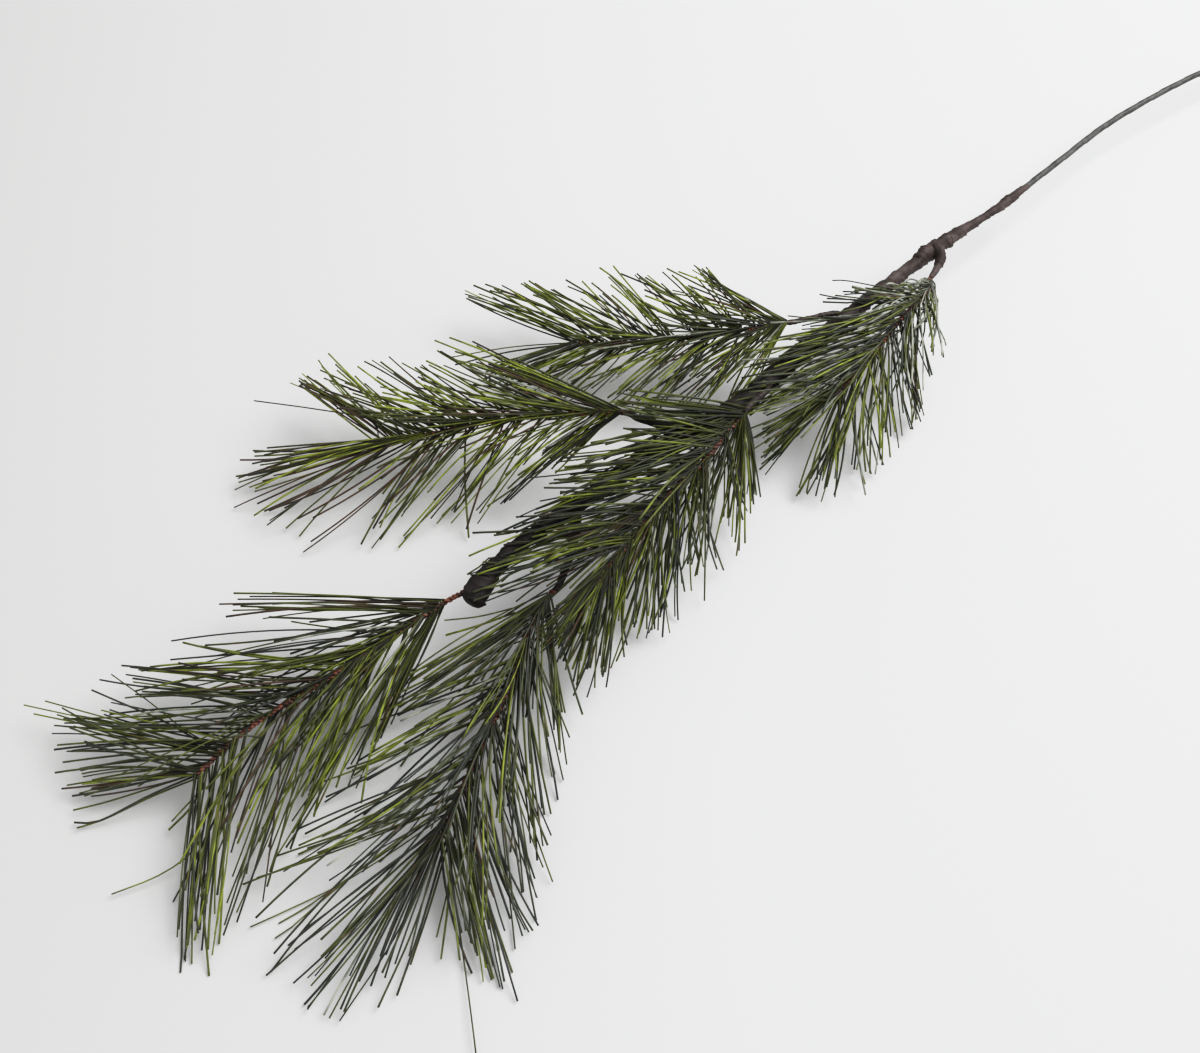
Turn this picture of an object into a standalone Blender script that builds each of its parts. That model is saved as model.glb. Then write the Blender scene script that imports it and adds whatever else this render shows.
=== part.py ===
"""Artificial long-needle pine spray, lying on a surface.

A wrapped stem wire carries six sprigs, each a twisted wire with long needles gripped along it. Brown
floral tape binds the sprig wires to the stem. The surface is z = 0, +X runs along the spray towards
the stem's cut end, and the origin is below the middle of the spray's box. Route points are in
millimetres, chosen by hand, and every other number is in millimetres too until MM turns it to metres.
"""

import math

import bmesh
import bpy
from mathutils import Vector

MM = 0.001

# Stem: a wrapped wire, bare from its cut end to where the tape starts and taped from there to its other
# end. The lengths of tape are given by where they start and end along X.
STEM_WIRE_RADIUS = 1.7
STEM_WIRE_END = -196.0
TAPE_JOIN_GAP = 1.0
TAPES = {
    "stem_tape_lower": (186.0, 121.0 + TAPE_JOIN_GAP),
    "stem_tape_knot": (121.0, 96.0),
    "stem_tape_middle": (96.0 - TAPE_JOIN_GAP, -34.0 + TAPE_JOIN_GAP),
    "stem_tape_fork": (-34.0, -86.0),
    "stem_tape_end": (-86.0 - TAPE_JOIN_GAP, -209.0),
}

# Stem route from the cut end to the last sprig, with the radius of the tape around it.
STEM_ROUTE = [
    (405, 58, 7, 3.0),
    (375, 64, 14, 3.0),
    (334, 68, 20, 3.0),
    (266, 67, 21, 3.0),
    (209, 58, 23, 3.0),
    (162, 50, 25, 3.1),
    (116, 45, 28, 3.3),
    (78, 38, 31, 3.6),
    (37, 29, 36, 4.2),
    (-14, 17, 42, 4.6),
    (-58, 8, 45, 4.8),
    (-86, 10, 46, 4.8),
    (-125, 7, 45, 4.6),
    (-152, 5, 44, 4.6),
    (-173, 3, 43, 4.8),
    (-190, -1, 42, 5.4),
    (-202, -6, 40, 5.8),
    (-212, -11, 38, 5.0),
]
KNOT_RADIUS = 5.8
KNOT_NECK_SHARE = 0.62
KNOT_STATIONS = 7
KNOT_LOBE_RADIUS = 4.6
KNOT_LOBE_PLACE = (112.0, 38.5, 28.5)
KNOT_LOBE_SEGMENTS = 12
KNOT_LOBE_RINGS = 8
FORK_RADIUS = 5.6
CLOSED_END_SHARE = 0.6

# Sprig wires: a twisted pair, taken as one round wire, and the tape around some of their shanks. A wire
# that leaves the stem's side starts this deep in the stem's tape.
SPRIG_WIRE_RADIUS = 1.2
SHANK_TAPE_RADIUS = 2.1
WIRE_BITE = 1.2

# Clearances: between wires and tapes, between a shank's tape and its neighbours, between needles and
# what runs through them, and how far a cutter runs on past the end of what it clears.
GAP = 0.3
SHANK_TAPE_GAP = 0.5
SHANK_TAPE_END = 1.0
NEEDLE_CLEARANCE = 0.7
CUTTER_OVERRUN = 0.8
STEM_CLEARANCE_START = 131.0
STEM_CLEARANCE_END = -211.0

# How finely tubes are divided along their length and round their section, how near a stretch's end a
# station is left out, the share of a section's radius at the middle of its sides, the angle that stays a
# sharp edge, and the distance that closes caps.
WIRE_STEP = 9.0
TAPE_STEP = 7.0
FINE_STEP = 2.0
END_MARGIN = 1.0
SIDES_RESOLUTION = 2
SIDE_MIDDLE = math.cos(math.pi / 8)
SHARP_ANGLE = math.radians(50)
WELD_DISTANCE = 0.001

# Heights that the needles fill above their own tips, part of the way in, and above the wire, and the
# share of the way from tip to wire at which the middle height is reached.
TIP_RISE = 3.0
MIDDLE_RISE = 10.0
CROWN_RISE = 15.0
MIDDLE_SHARE = 0.5

# Each sprig, numbered from the stem's far end. leaves: the x where its wire leaves the stem, or None
# where the wire goes on from the stem's end. shank: the wire's points before its needles. wire: its
# points from the first needle to the free end. near and far: where the needles' tips reach on the two
# sides of the wire, as (share of the wire, x, y, height). end and back: the points that close that
# outline beyond the free end and behind the first needle. tape: whether the shank is taped. bound_by:
# the tape that holds the wire.
SPRIGS = {
    "sprig_1": {
        "bound_by": "stem_tape_end",
        "leaves": None,
        "shank": [(-205, -3, 40), (-211, -2, 38)],
        "wire": [(-218, -1, 36), (-252, -1, 31), (-284, -2, 28), (-317, -2, 25), (-349, -8, 22)],
        "near": [
            (0.0, -220, 2, 15), (0.25, -290, -28, 15), (0.5, -342, -52, 15), (0.75, -377, -68, 8),
            (0.9, -388, -77, 3), (1.0, -398, -70, 3),
        ],
        "end": (-397, -28, 4),
        "far": [
            (0.0, -268, 52, 18), (0.1, -290, 65, 18), (0.45, -325, 60, 16), (0.75, -370, 60, 14),
            (0.9, -402, 68, 14), (1.0, -405, 13, 4),
        ],
        "back": (-214, 11, 15),
        "tape": False,
    },
    "sprig_2": {
        "bound_by": "stem_tape_end",
        "leaves": -142,
        "shank": [(-150, -6, 42), (-159, -14, 38), (-169, -21, 34)],
        "wire": [(-188, -29, 30), (-211, -48, 27), (-231, -62, 26), (-249, -74, 25), (-274, -92, 22)],
        "near": [
            (0.0, -183, -65, 15), (0.2, -205, -83, 4), (0.4, -226, -100, 3), (0.55, -248, -130, 3),
            (0.9, -285, -162, 3), (1.0, -293, -158, 3),
        ],
        "end": (-314, -145, 4),
        "far": [
            (0.0, -210, 0, 15), (0.4, -299, -38, 15), (0.75, -353, -62, 15), (0.9, -364, -72, 4),
            (1.0, -336, -135, 4),
        ],
        "back": (-184, -20, 15),
        "tape": True,
    },
    "sprig_3": {
        "bound_by": "stem_tape_middle",
        "leaves": -22,
        "shank": [(-32, 6, 52), (-41, 4, 53)],
        "wire": [
            (-50, 1, 53), (-64, -4, 53), (-82, -11, 52), (-109, -18, 51), (-138, -28, 48), (-156, -34, 45),
        ],
        "near": [
            (0.0, -47, -16, 8), (0.2, -75, -34, 5), (0.4, -106, -50, 4), (0.6, -129, -54, 4),
            (0.9, -170, -64, 10), (1.0, -177, -60, 15),
        ],
        "end": (-180, -37, 15),
        "far": [
            (0.0, -48, 37, 15), (0.15, -78, 38, 15), (0.5, -141, 33, 15), (0.75, -172, 29, 15),
            (1.0, -182, 5, 15),
        ],
        "back": (-24, 24, 15),
        "tape": False,
    },
    "sprig_4": {
        "bound_by": "stem_tape_fork",
        "leaves": -70,
        "shank": [(-84, 18, 49), (-92, 28, 49)],
        "wire": [(-97, 36, 48), (-122, 54, 44), (-152, 73, 38), (-182, 88, 31), (-201, 99, 28)],
        "near": [
            (0.0, -80, 43, 15), (0.15, -145, 40, 15), (0.3, -187, 36, 15), (0.4, -196, 55, 5),
            (0.6, -227, 64, 4), (0.8, -257, 84, 4), (0.9, -273, 98, 4), (1.0, -268, 133, 7),
        ],
        "end": (-262, 139, 9),
        "far": [
            (0.0, -71, 57, 15), (0.15, -127, 132, 18), (0.35, -153, 134, 38), (0.5, -172, 139, 36),
            (0.7, -197, 148, 32), (0.85, -218, 162, 26), (1.0, -254, 142, 12),
        ],
        "back": (-71, 47, 15),
        "tape": True,
    },
    "sprig_5": {
        "bound_by": "stem_tape_middle",
        "leaves": 40,
        "shank": [(30, 34, 39)],
        "wire": [(8, 42, 38), (-39, 65, 34), (-58, 76, 32), (-76, 88, 30), (-88, 98, 28)],
        "near": [
            (0.0, -13, 38, 15), (0.12, -44, 42, 15), (0.3, -65, 60, 15), (0.65, -97, 103, 15),
            (1.0, -127, 145, 15),
        ],
        "end": (-126, 150, 15),
        "far": [
            (0.0, -5, 99, 36), (0.15, -23, 110, 36), (0.45, -53, 132, 32), (0.75, -84, 147, 26),
            (0.95, -113, 161, 22), (1.0, -122, 155, 15),
        ],
        "back": (24, 56, 15),
        "tape": False,
    },
    "sprig_6": {
        "bound_by": "stem_tape_knot",
        "leaves": 110,
        "shank": [(100, 32, 32)],
        "wire": [(90, 26, 33), (83, 20, 35), (54, 10, 38), (29, 0, 38), (4, -6, 34)],
        "near": [
            (0.0, 97, 19, 12), (0.2, 67, -19, 5), (0.4, 45, -30, 4), (0.65, 23, -34, 4),
            (0.85, 2, -41, 4), (1.0, -30, -36, 4),
        ],
        "end": (-38, -30, 5),
        "far": [
            (0.0, 45, 47, 36), (0.15, 36, 52, 28), (0.4, 0, 36, 15), (0.6, -15, 30, 15),
            (0.8, -25, 13, 15), (1.0, -40, -25, 6),
        ],
        "back": (107, 34, 15),
        "tape": True,
    },
}

# Colours, linear.
STEM_WRAP_COLOUR = (0.075, 0.078, 0.062)
TAPE_COLOUR = (0.050, 0.036, 0.030)
WIRE_COLOUR = (0.200, 0.070, 0.045)
NEEDLE_COLOUR = (0.065, 0.095, 0.040)


def clear_scene():
    for old in list(bpy.data.objects):
        bpy.data.objects.remove(old, do_unlink=True)


def make_collection(name, hidden):
    collection = bpy.data.collections.new(name)
    collection.hide_render = hidden
    bpy.context.scene.collection.children.link(collection)
    return collection


def make_material(name, colour, roughness, metallic):
    material = bpy.data.materials.new(name)
    material.use_nodes = True
    shader = material.node_tree.nodes["Principled BSDF"]
    shader.inputs["Base Color"].default_value = (*colour, 1.0)
    shader.inputs["Roughness"].default_value = roughness
    shader.inputs["Metallic"].default_value = metallic
    return material


def blend(a, b, share):
    """The tuple that lies this share of the way from a to b."""
    return tuple(p + (q - p) * share for p, q in zip(a, b))


def distance(a, b):
    return (Vector(b[:3]) - Vector(a[:3])).length


def smooth_route(points, step):
    """Tuples about a step apart on the Catmull-Rom curve through the points. The first three numbers of
    each tuple are its place, and any others are carried along."""
    before = blend(points[1], points[0], 2.0)
    after = blend(points[-2], points[-1], 2.0)
    padded = [before, *points, after]
    found = []
    for a, b, c, d in zip(padded, padded[1:], padded[2:], padded[3:]):
        pieces = max(1, round(distance(b, c) / step))
        for k in range(pieces):
            t = k / pieces
            found.append(tuple(
                0.5 * (2 * q + (r - p) * t + (2 * p - 5 * q + 4 * r - s) * t**2
                       + (3 * q - p - 3 * r + s) * t**3)
                for p, q, r, s in zip(a, b, c, d)
            ))
    return [*found, tuple(points[-1])]


def point_at(route, share):
    """The point this share of the way along the route."""
    left = share * sum(distance(a, b) for a, b in zip(route, route[1:]))
    for a, b in zip(route, route[1:]):
        length = distance(a, b)
        if left <= length:
            return blend(a, b, left / length)
        left -= length
    return route[-1]


def longer(route, by):
    """The route with its last point moved on by this much."""
    a = Vector(route[-2][:3])
    b = Vector(route[-1][:3])
    return [*route[:-1], tuple(b + (b - a).normalized() * by)]


def stem_at(x):
    """The stem's smooth route at this x: its place and the tape's radius."""
    route = smooth_route(STEM_ROUTE, TAPE_STEP)
    for a, b in zip(route, route[1:]):
        if b[0] <= x <= a[0]:
            return blend(a, b, (a[0] - x) / (a[0] - b[0]))
    return route[-1]


def stem_stretch(x_from, x_to, step):
    """The stem's smooth route between two values of x, ends included."""
    inner = [p for p in smooth_route(STEM_ROUTE, step) if x_to + END_MARGIN < p[0] < x_from - END_MARGIN]
    return [stem_at(x_from), *inner, stem_at(x_to)]


def sprig_route(sprig):
    """The whole smooth route of a sprig's wire. A wire that leaves the stem's side starts in its tape."""
    points = [*sprig["shank"], *sprig["wire"]]
    if sprig["leaves"] is not None:
        x, y, z, tape_radius = stem_at(sprig["leaves"])
        foot = Vector((x, y, z))
        along = (Vector(stem_at(x - TAPE_STEP)[:3]) - foot).normalized()
        out = Vector(points[0]) - foot
        out -= along * out.dot(along)
        offset = max(tape_radius - WIRE_BITE, STEM_WIRE_RADIUS + SPRIG_WIRE_RADIUS + 2 * GAP)
        points.insert(0, tuple(foot + out.normalized() * offset))
    return smooth_route(points, WIRE_STEP)


def tube(name, route, radii, collection):
    """A closed tube of round section along the route, as a mesh object."""
    curve = bpy.data.curves.new(name, "CURVE")
    curve.dimensions = "3D"
    curve.bevel_depth = MM
    curve.bevel_resolution = SIDES_RESOLUTION
    curve.use_fill_caps = True
    spline = curve.splines.new("POLY")
    spline.points.add(len(route) - 1)
    for point, place, radius in zip(spline.points, route, radii):
        point.co = (*(Vector(place[:3]) * MM), 1.0)
        point.radius = radius
    drawn = bpy.data.objects.new(name, curve)
    collection.objects.link(drawn)
    bpy.context.view_layer.update()
    mesh = bpy.data.meshes.new_from_object(drawn.evaluated_get(bpy.context.evaluated_depsgraph_get()))
    place = drawn.matrix_world.copy()
    bpy.data.objects.remove(drawn)
    bpy.data.curves.remove(curve)
    shape = bmesh.new()
    shape.from_mesh(mesh)
    bmesh.ops.remove_doubles(shape, verts=shape.verts, dist=WELD_DISTANCE * MM)
    bmesh.ops.recalc_face_normals(shape, faces=shape.faces)
    shape.to_mesh(mesh)
    shape.free()
    mesh.shade_smooth()
    mesh.set_sharp_from_angle(angle=SHARP_ANGLE)
    made = bpy.data.objects.new(name, mesh)
    made.matrix_world = place
    collection.objects.link(made)
    return made


def make_cutter(name, route, radii, cutters):
    """A tube that clears pieces of these radii with the flats of its own section."""
    cutter = tube(name, route, [radius / SIDE_MIDDLE for radius in radii], cutters)
    cutter.hide_render = True
    cutter.display_type = "WIRE"
    return cutter


def cut(target, cutter, operation="DIFFERENCE"):
    modifier = target.modifiers.new(cutter.name, "BOOLEAN")
    modifier.operation = operation
    modifier.solver = "EXACT"
    modifier.object = cutter


def make_stem_wire(parts, material):
    route = stem_stretch(STEM_ROUTE[0][0], STEM_WIRE_END, WIRE_STEP)
    wire = tube("stem_wire", route, [STEM_WIRE_RADIUS] * len(route), parts)
    wire.data.materials.append(material)


def stem_bore(cutters):
    """A cutter a little fatter than the stem's wire, for the tapes around it."""
    route = longer(stem_stretch(STEM_ROUTE[0][0], STEM_WIRE_END, WIRE_STEP), CUTTER_OVERRUN)
    return make_cutter("stem_bore", route, [STEM_WIRE_RADIUS + GAP] * len(route), cutters)


def sprig_bore(name, sprig, cutters):
    """A cutter a little fatter than a sprig's wire, for the tapes around it."""
    route = longer(sprig_route(sprig), CUTTER_OVERRUN)
    return make_cutter(name + "_bore", route, [SPRIG_WIRE_RADIUS + GAP] * len(route), cutters)


def knot_lobe(cutters):
    """The lump at the knot's side where the tape is folded back."""
    bpy.ops.mesh.primitive_uv_sphere_add(
        segments=KNOT_LOBE_SEGMENTS, ring_count=KNOT_LOBE_RINGS, radius=KNOT_LOBE_RADIUS * MM,
        location=Vector(KNOT_LOBE_PLACE) * MM,
    )
    lobe = bpy.context.object
    lobe.name = "knot_lobe"
    for holder in list(lobe.users_collection):
        holder.objects.unlink(lobe)
    cutters.objects.link(lobe)
    lobe.hide_render = True
    lobe.display_type = "WIRE"
    return lobe


def knot_shape(route):
    """The knot's stations and radii: necked at both ends and fat between them."""
    shares = [k / (KNOT_STATIONS - 1) for k in range(KNOT_STATIONS)]
    stations = [point_at(route, share) for share in shares]
    swell = 1.0 - KNOT_NECK_SHARE
    radii = [KNOT_RADIUS * (KNOT_NECK_SHARE + swell * math.sin(math.pi * share)) for share in shares]
    return stations, radii


def make_stem_tapes(parts, cutters, material):
    """The lengths of tape on the stem, from its bare wire to its other end."""
    bore = stem_bore(cutters)
    tapes = {}
    for name, (x_from, x_to) in TAPES.items():
        route = stem_stretch(x_from, x_to, TAPE_STEP)
        radii = [point[3] for point in route]
        if name == "stem_tape_knot":
            route, radii = knot_shape(route)
        if name == "stem_tape_fork":
            radii = [FORK_RADIUS] * len(route)
        if name == "stem_tape_end":
            radii[-1] *= CLOSED_END_SHARE
        tapes[name] = tube(name, route, radii, parts)
        tapes[name].data.materials.append(material)
    cut(tapes["stem_tape_knot"], knot_lobe(cutters), "UNION")
    for taped in tapes.values():
        cut(taped, bore)
    return tapes


def make_sprig_wire(name, sprig, parts, material):
    route = sprig_route(sprig)
    wire = tube(name + "_wire", route, [SPRIG_WIRE_RADIUS] * len(route), parts)
    wire.data.materials.append(material)


def shank_length(sprig):
    """How far a sprig's first needle is from its wire's start."""
    return distance(sprig_route(sprig)[0], sprig["wire"][0])


def shank_tape_route(sprig):
    """The stretch of a sprig's wire between the stem's tape and its first needle."""
    route = smooth_route(sprig_route(sprig), FINE_STEP)
    stem = [(p, max(p[3], FORK_RADIUS)) for p in smooth_route(STEM_ROUTE, FINE_STEP)]
    found = []
    for place in route:
        room = min(distance(place, centre) - radius for centre, radius in stem)
        is_clear = room > SHANK_TAPE_RADIUS + SHANK_TAPE_GAP
        if is_clear and distance(place, route[0]) < shank_length(sprig) - SHANK_TAPE_END:
            found.append(place)
    return found


def make_shank_tape(name, sprig, bore, parts, material):
    route = shank_tape_route(sprig)
    sleeve = tube(name + "_shank_tape", route, [SHANK_TAPE_RADIUS] * len(route), parts)
    sleeve.data.materials.append(material)
    cut(sleeve, bore)


def outline_at(side, share):
    """The tip that a side's outline reaches from this share of the wire."""
    for a, b in zip(side, side[1:]):
        if a[0] <= share <= b[0]:
            return blend(a[1:], b[1:], (share - a[0]) / (b[0] - a[0]))
    return side[-1][1:]


def needle_layers(sprig):
    """Three rings of points over a sprig's needles: a rim through the tips, a ring half-way in, and
    the crown along the wire, with the crown's index for each point of the rim."""
    route = smooth_route(sprig["wire"], WIRE_STEP)
    shares = sorted({p[0] for p in sprig["near"]} | {p[0] for p in sprig["far"]})
    wire = [point_at(route, share) for share in shares]
    near = [outline_at(sprig["near"], share) for share in shares]
    far = [outline_at(sprig["far"], share) for share in shares]
    tips = [*near, sprig["end"], *reversed(far), sprig["back"]]
    last = len(shares) - 1
    inward = [*range(last + 1), last, *range(last, -1, -1), 0]
    rim = [(x, y, z + TIP_RISE) for x, y, z in tips]
    middle = []
    for tip, k in zip(tips, inward):
        x, y, z = blend(tip, wire[k], MIDDLE_SHARE)
        middle.append((x, y, z + MIDDLE_RISE))
    crown = [(x, y, z + CROWN_RISE) for x, y, z in wire]
    return rim, middle, crown, inward


def needle_cage(name, sprig, collection):
    """The space that a sprig's needles fill, on a flat underside. It is lofted by hand because its two
    sides follow unlike outlines."""
    rim, middle, crown, inward = needle_layers(sprig)
    around = len(rim)
    shape = bmesh.new()
    walls = []
    for height in (0.0, MM):
        outer = [shape.verts.new((x * MM, y * MM, z * height)) for x, y, z in rim]
        between = [shape.verts.new((x * MM, y * MM, z * height)) for x, y, z in middle]
        ridge = [shape.verts.new((x * MM, y * MM, z * height)) for x, y, z in crown]
        for k in range(around):
            after = (k + 1) % around
            shape.faces.new((outer[k], outer[after], between[after], between[k]))
            corners = [between[k], between[after], ridge[inward[after]]]
            if inward[after] != inward[k]:
                corners.append(ridge[inward[k]])
            shape.faces.new(corners)
        walls.append(outer)
    for k in range(around):
        after = (k + 1) % around
        shape.faces.new((walls[0][k], walls[0][after], walls[1][after], walls[1][k]))
    bmesh.ops.recalc_face_normals(shape, faces=shape.faces)
    mesh = bpy.data.meshes.new(name)
    shape.to_mesh(mesh)
    shape.free()
    made = bpy.data.objects.new(name, mesh)
    collection.objects.link(made)
    return made


def stem_clearance(cutters):
    """A cutter around the taped stem, for the needles that lie over it."""
    route = stem_stretch(STEM_CLEARANCE_START, STEM_CLEARANCE_END, WIRE_STEP)
    radii = [max(point[3], FORK_RADIUS) + NEEDLE_CLEARANCE for point in route]
    return make_cutter("stem_clearance", route, radii, cutters)


def sprig_clearance(name, sprig, cutters):
    """A cutter around a sprig's wire and the tape on its shank."""
    route = longer(sprig_route(sprig), CUTTER_OVERRUN)
    taped = shank_length(sprig) + SHANK_TAPE_END if sprig["tape"] else 0.0
    radii = []
    for place in route:
        is_taped = distance(place, route[0]) < taped
        radii.append((SHANK_TAPE_RADIUS if is_taped else SPRIG_WIRE_RADIUS) + NEEDLE_CLEARANCE)
    return make_cutter(name + "_clearance", route, radii, cutters)


def main():
    clear_scene()
    parts = make_collection("artificial_pine_spray", hidden=False)
    cutters = make_collection("cutters", hidden=True)
    stem_wrap = make_material("stem_wrap", STEM_WRAP_COLOUR, 0.6, 0.0)
    floral_tape = make_material("floral_tape", TAPE_COLOUR, 0.75, 0.0)
    twisted_wire = make_material("twisted_wire", WIRE_COLOUR, 0.5, 0.4)
    needle_plastic = make_material("needle_plastic", NEEDLE_COLOUR, 0.45, 0.0)
    make_stem_wire(parts, stem_wrap)
    tapes = make_stem_tapes(parts, cutters, floral_tape)
    clearances = [stem_clearance(cutters)]
    for name, sprig in SPRIGS.items():
        bore = sprig_bore(name, sprig, cutters)
        cut(tapes[sprig["bound_by"]], bore)
        make_sprig_wire(name, sprig, parts, twisted_wire)
        if sprig["tape"]:
            make_shank_tape(name, sprig, bore, parts, floral_tape)
        clearances.append(sprig_clearance(name, sprig, cutters))
    for name, sprig in SPRIGS.items():
        needles = needle_cage(name + "_needles", sprig, parts)
        needles.data.materials.append(needle_plastic)
        for clearance in clearances:
            cut(needles, clearance)


main()
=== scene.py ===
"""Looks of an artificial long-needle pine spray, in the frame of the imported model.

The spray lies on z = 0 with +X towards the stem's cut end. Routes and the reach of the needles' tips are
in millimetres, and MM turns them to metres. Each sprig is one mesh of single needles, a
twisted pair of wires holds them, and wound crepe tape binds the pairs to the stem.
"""

import math

import bpy
import numpy as np
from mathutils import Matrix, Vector


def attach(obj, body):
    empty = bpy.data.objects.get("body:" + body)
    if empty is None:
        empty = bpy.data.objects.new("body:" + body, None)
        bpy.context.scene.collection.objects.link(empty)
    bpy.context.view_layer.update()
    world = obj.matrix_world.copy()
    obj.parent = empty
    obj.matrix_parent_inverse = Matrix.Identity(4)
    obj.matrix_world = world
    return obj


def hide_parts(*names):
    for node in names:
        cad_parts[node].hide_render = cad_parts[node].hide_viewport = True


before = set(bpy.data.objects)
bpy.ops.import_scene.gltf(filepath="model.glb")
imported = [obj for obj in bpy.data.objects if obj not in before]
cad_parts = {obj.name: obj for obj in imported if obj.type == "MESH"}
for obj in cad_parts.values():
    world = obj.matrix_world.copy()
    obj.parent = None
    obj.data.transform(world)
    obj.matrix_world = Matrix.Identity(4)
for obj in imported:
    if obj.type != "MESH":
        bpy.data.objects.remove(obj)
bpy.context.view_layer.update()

MM = 0.001
UP = np.array([0.0, 0.0, 1.0])
FULL_TURN = 2 * math.pi
FINE_STEP = 1.0
OUTLINE_SAMPLES = 400

# The camera's place and aim in millimetres, and how wide it sees in degrees: the photo's view, 60 degrees
# down on the spray and turned 33 degrees from its length.
EYE = (-322.2, -292.1, 627.0)
TARGET = (-125.0, 11.5, 0.0)
VIEW_ANGLE = 45.0
SENSOR_WIDTH = 36.0

# The studio, in metres. The lamp is large and soft, and high on the side of the stem's cut end.
FLOOR_HALF_SIZE = 12.0
LAMP_SIZE = 1.6
LAMP_WATTS = 50.0
LAMP_PLACE = (1.3, -0.25, 1.9)
LAMP_TARGET = (-0.1, 0.0, 0.0)
WORLD_STRENGTH = 0.56

# A camera's own curve from scene light to picture, with darker shadows and a soft shoulder up to white.
FILM_WHITE = (1.0, 0.863)
FILM_CURVE = [(0.03, 0.022), (0.08, 0.074), (0.2, 0.235), (0.4, 0.49), (0.6, 0.67), (0.8, 0.79)]

# Stem route from the cut end to the last sprig, as in the model, with the radius of the tape around it.
STEM_WIRE_RADIUS = 1.7
STEM_WIRE_END = -196.0
STEM_ROUTE = [
    (405, 58, 7, 3.0), (375, 64, 14, 3.0), (334, 68, 20, 3.0), (266, 67, 21, 3.0), (209, 58, 23, 3.0),
    (162, 50, 25, 3.1), (116, 45, 28, 3.3), (78, 38, 31, 3.6), (37, 29, 36, 4.2), (-14, 17, 42, 4.6),
    (-58, 8, 45, 4.8), (-86, 10, 46, 4.8), (-125, 7, 45, 4.3), (-152, 5, 44, 4.1), (-173, 3, 43, 3.8),
    (-188, 0, 42, 4.1), (-199, -4, 40, 5.6), (-212, -10, 38, 6.0),
]

# The smooth wrap of the stem's wire: a thin strip wound on it, whose edge stands up a little.
WRAP_SEED = 11
WRAP_SIDES = 16
WRAP_STEP = 1.2
WRAP_PITCH = 19.0
WRAP_EDGE = 0.28
WRAP_SINK = 0.1
WRAP_UNEVEN = 0.05

# How crepe tape is wound: the length of a turn, how far its edge stands up and how deep its creases are.
SLEEVE_WINDING = {"pitch": 11.0, "edge": 0.6, "crease": 0.4}
KNOT_WINDING = {"pitch": 7.0, "edge": 0.8, "crease": 0.8}
STRAP_WINDING = {"pitch": 5.0, "edge": 0.3, "crease": 0.35}
SHANK_WINDING = {"pitch": 8.0, "edge": 0.25, "crease": 0.12}
TAPE_SEED = 23
TAPE_SIDES = 40
TAPE_STEP = 0.5
TAPE_SLACK = 0.15
FOLDS_PER_TURN = 3.0
FOLD_WANDER = 0.5
FADE_LENGTH = 13.0
LUMPS_ROUND = 7
LUMP_HEIGHT = 0.8
USUAL_TAPE_RADIUS = 3.3
MOST_TAPE_RELIEF = 1.3

# The stem's tapes. span: the stem's x where a tape starts and ends. swells: how much thicker than the
# stem's route says the tape is, as (share of its length, factor).
TAPES = {
    "stem_tape_lower": {
        "span": (186.0, 121.0),
        "winding": SLEEVE_WINDING,
        "swells": [
            (0, 0.58), (0.05, 0.66), (0.15, 0.8), (0.3, 0.95), (0.45, 0.74), (0.6, 0.66), (0.75, 0.86),
            (0.87, 1.0), (1, 1.15),
        ],
    },
    "stem_tape_knot": {
        "span": (121.0, 96.0),
        "winding": KNOT_WINDING,
        "swells": [(0, 1.2), (0.2, 1.1), (0.4, 1.3), (0.62, 1.4), (0.85, 1.2), (1, 1.0)],
    },
    "stem_tape_middle": {
        "span": (96.0, -34.0),
        "winding": SLEEVE_WINDING,
        "swells": [(0, 1.1), (0.05, 1.0), (1, 1.0)],
    },
    "stem_tape_fork": {
        "span": (-34.0, -86.0),
        "winding": SLEEVE_WINDING,
        "swells": [(0, 1.0), (0.1, 1.16), (0.97, 1.2), (1, 1.14)],
    },
    "stem_tape_end": {
        "span": (-86.0, -209.0),
        "winding": SLEEVE_WINDING,
        "swells": [(0, 1.0), (0.975, 1.0), (0.985, 0.92), (0.995, 0.75), (1, 0.5)],
    },
}

# The strap of tape that crosses the knot and binds the last sprig's wire, with its half width.
STRAP_STEP = 0.4
KNOT_STRAP = [
    (113, 47, 28, 1.8), (110.5, 45, 31.5, 2.2), (108.7, 39.6, 33, 2.5), (106.5, 35.5, 32, 2.7),
    (102.7, 32.7, 31.5, 2.6),
]

# Tape on some sprigs' shanks, which stops this many rows of its route before the needles.
SHANK_TAPE_RADIUS = 2.1
SHANK_TAPE_SWELLS = [(0, 1.2), (0.5, 1.0), (0.85, 0.8), (1, 0.62)]
SHANK_BARE_ROWS = 5

# Sprig wires: a twisted pair, red-brown under the needles. Where its dark coating still covers the shank,
# it fills the grooves: the strands lie closer and are thicker by these shares.
STRAND_RADIUS = 0.74
STRAND_OFFSET = 0.62
STRAND_PITCH = 4.6
STRAND_SIDES = 7
STRAND_STEP = 0.42
ROW_STRIDE = 6
STRAND_TURN_WANDER = 0.5
STRAND_OFFSET_WANDER = 0.15
STRAND_RADIUS_WANDER = 0.12
COATED_CLOSER = 0.75
COATED_THICKER = 0.85
COATING_FADE = 2.0
FOOT_GAP = 1.6

# Needles: moulded strips, wider than thick, with square-cut ends. They lie on the floor at the lowest.
NEEDLE_WIDTH = 1.02
NEEDLE_THICKNESS = 0.72
NEEDLE_SIZES = (0.88, 1.12)
NEEDLE_TWIST = 0.5
NEEDLE_SIDES = 6
NEEDLE_STEPS = 11
NEEDLE_END_QUADS = np.array([[0, 1, 2, 3], [0, 3, 4, 5]])
NEEDLE_FLOOR = 0.5
NEEDLE_FLOOR_RANGE = (0, 1.2)
LOWEST_PLACE = 0.05

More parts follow.
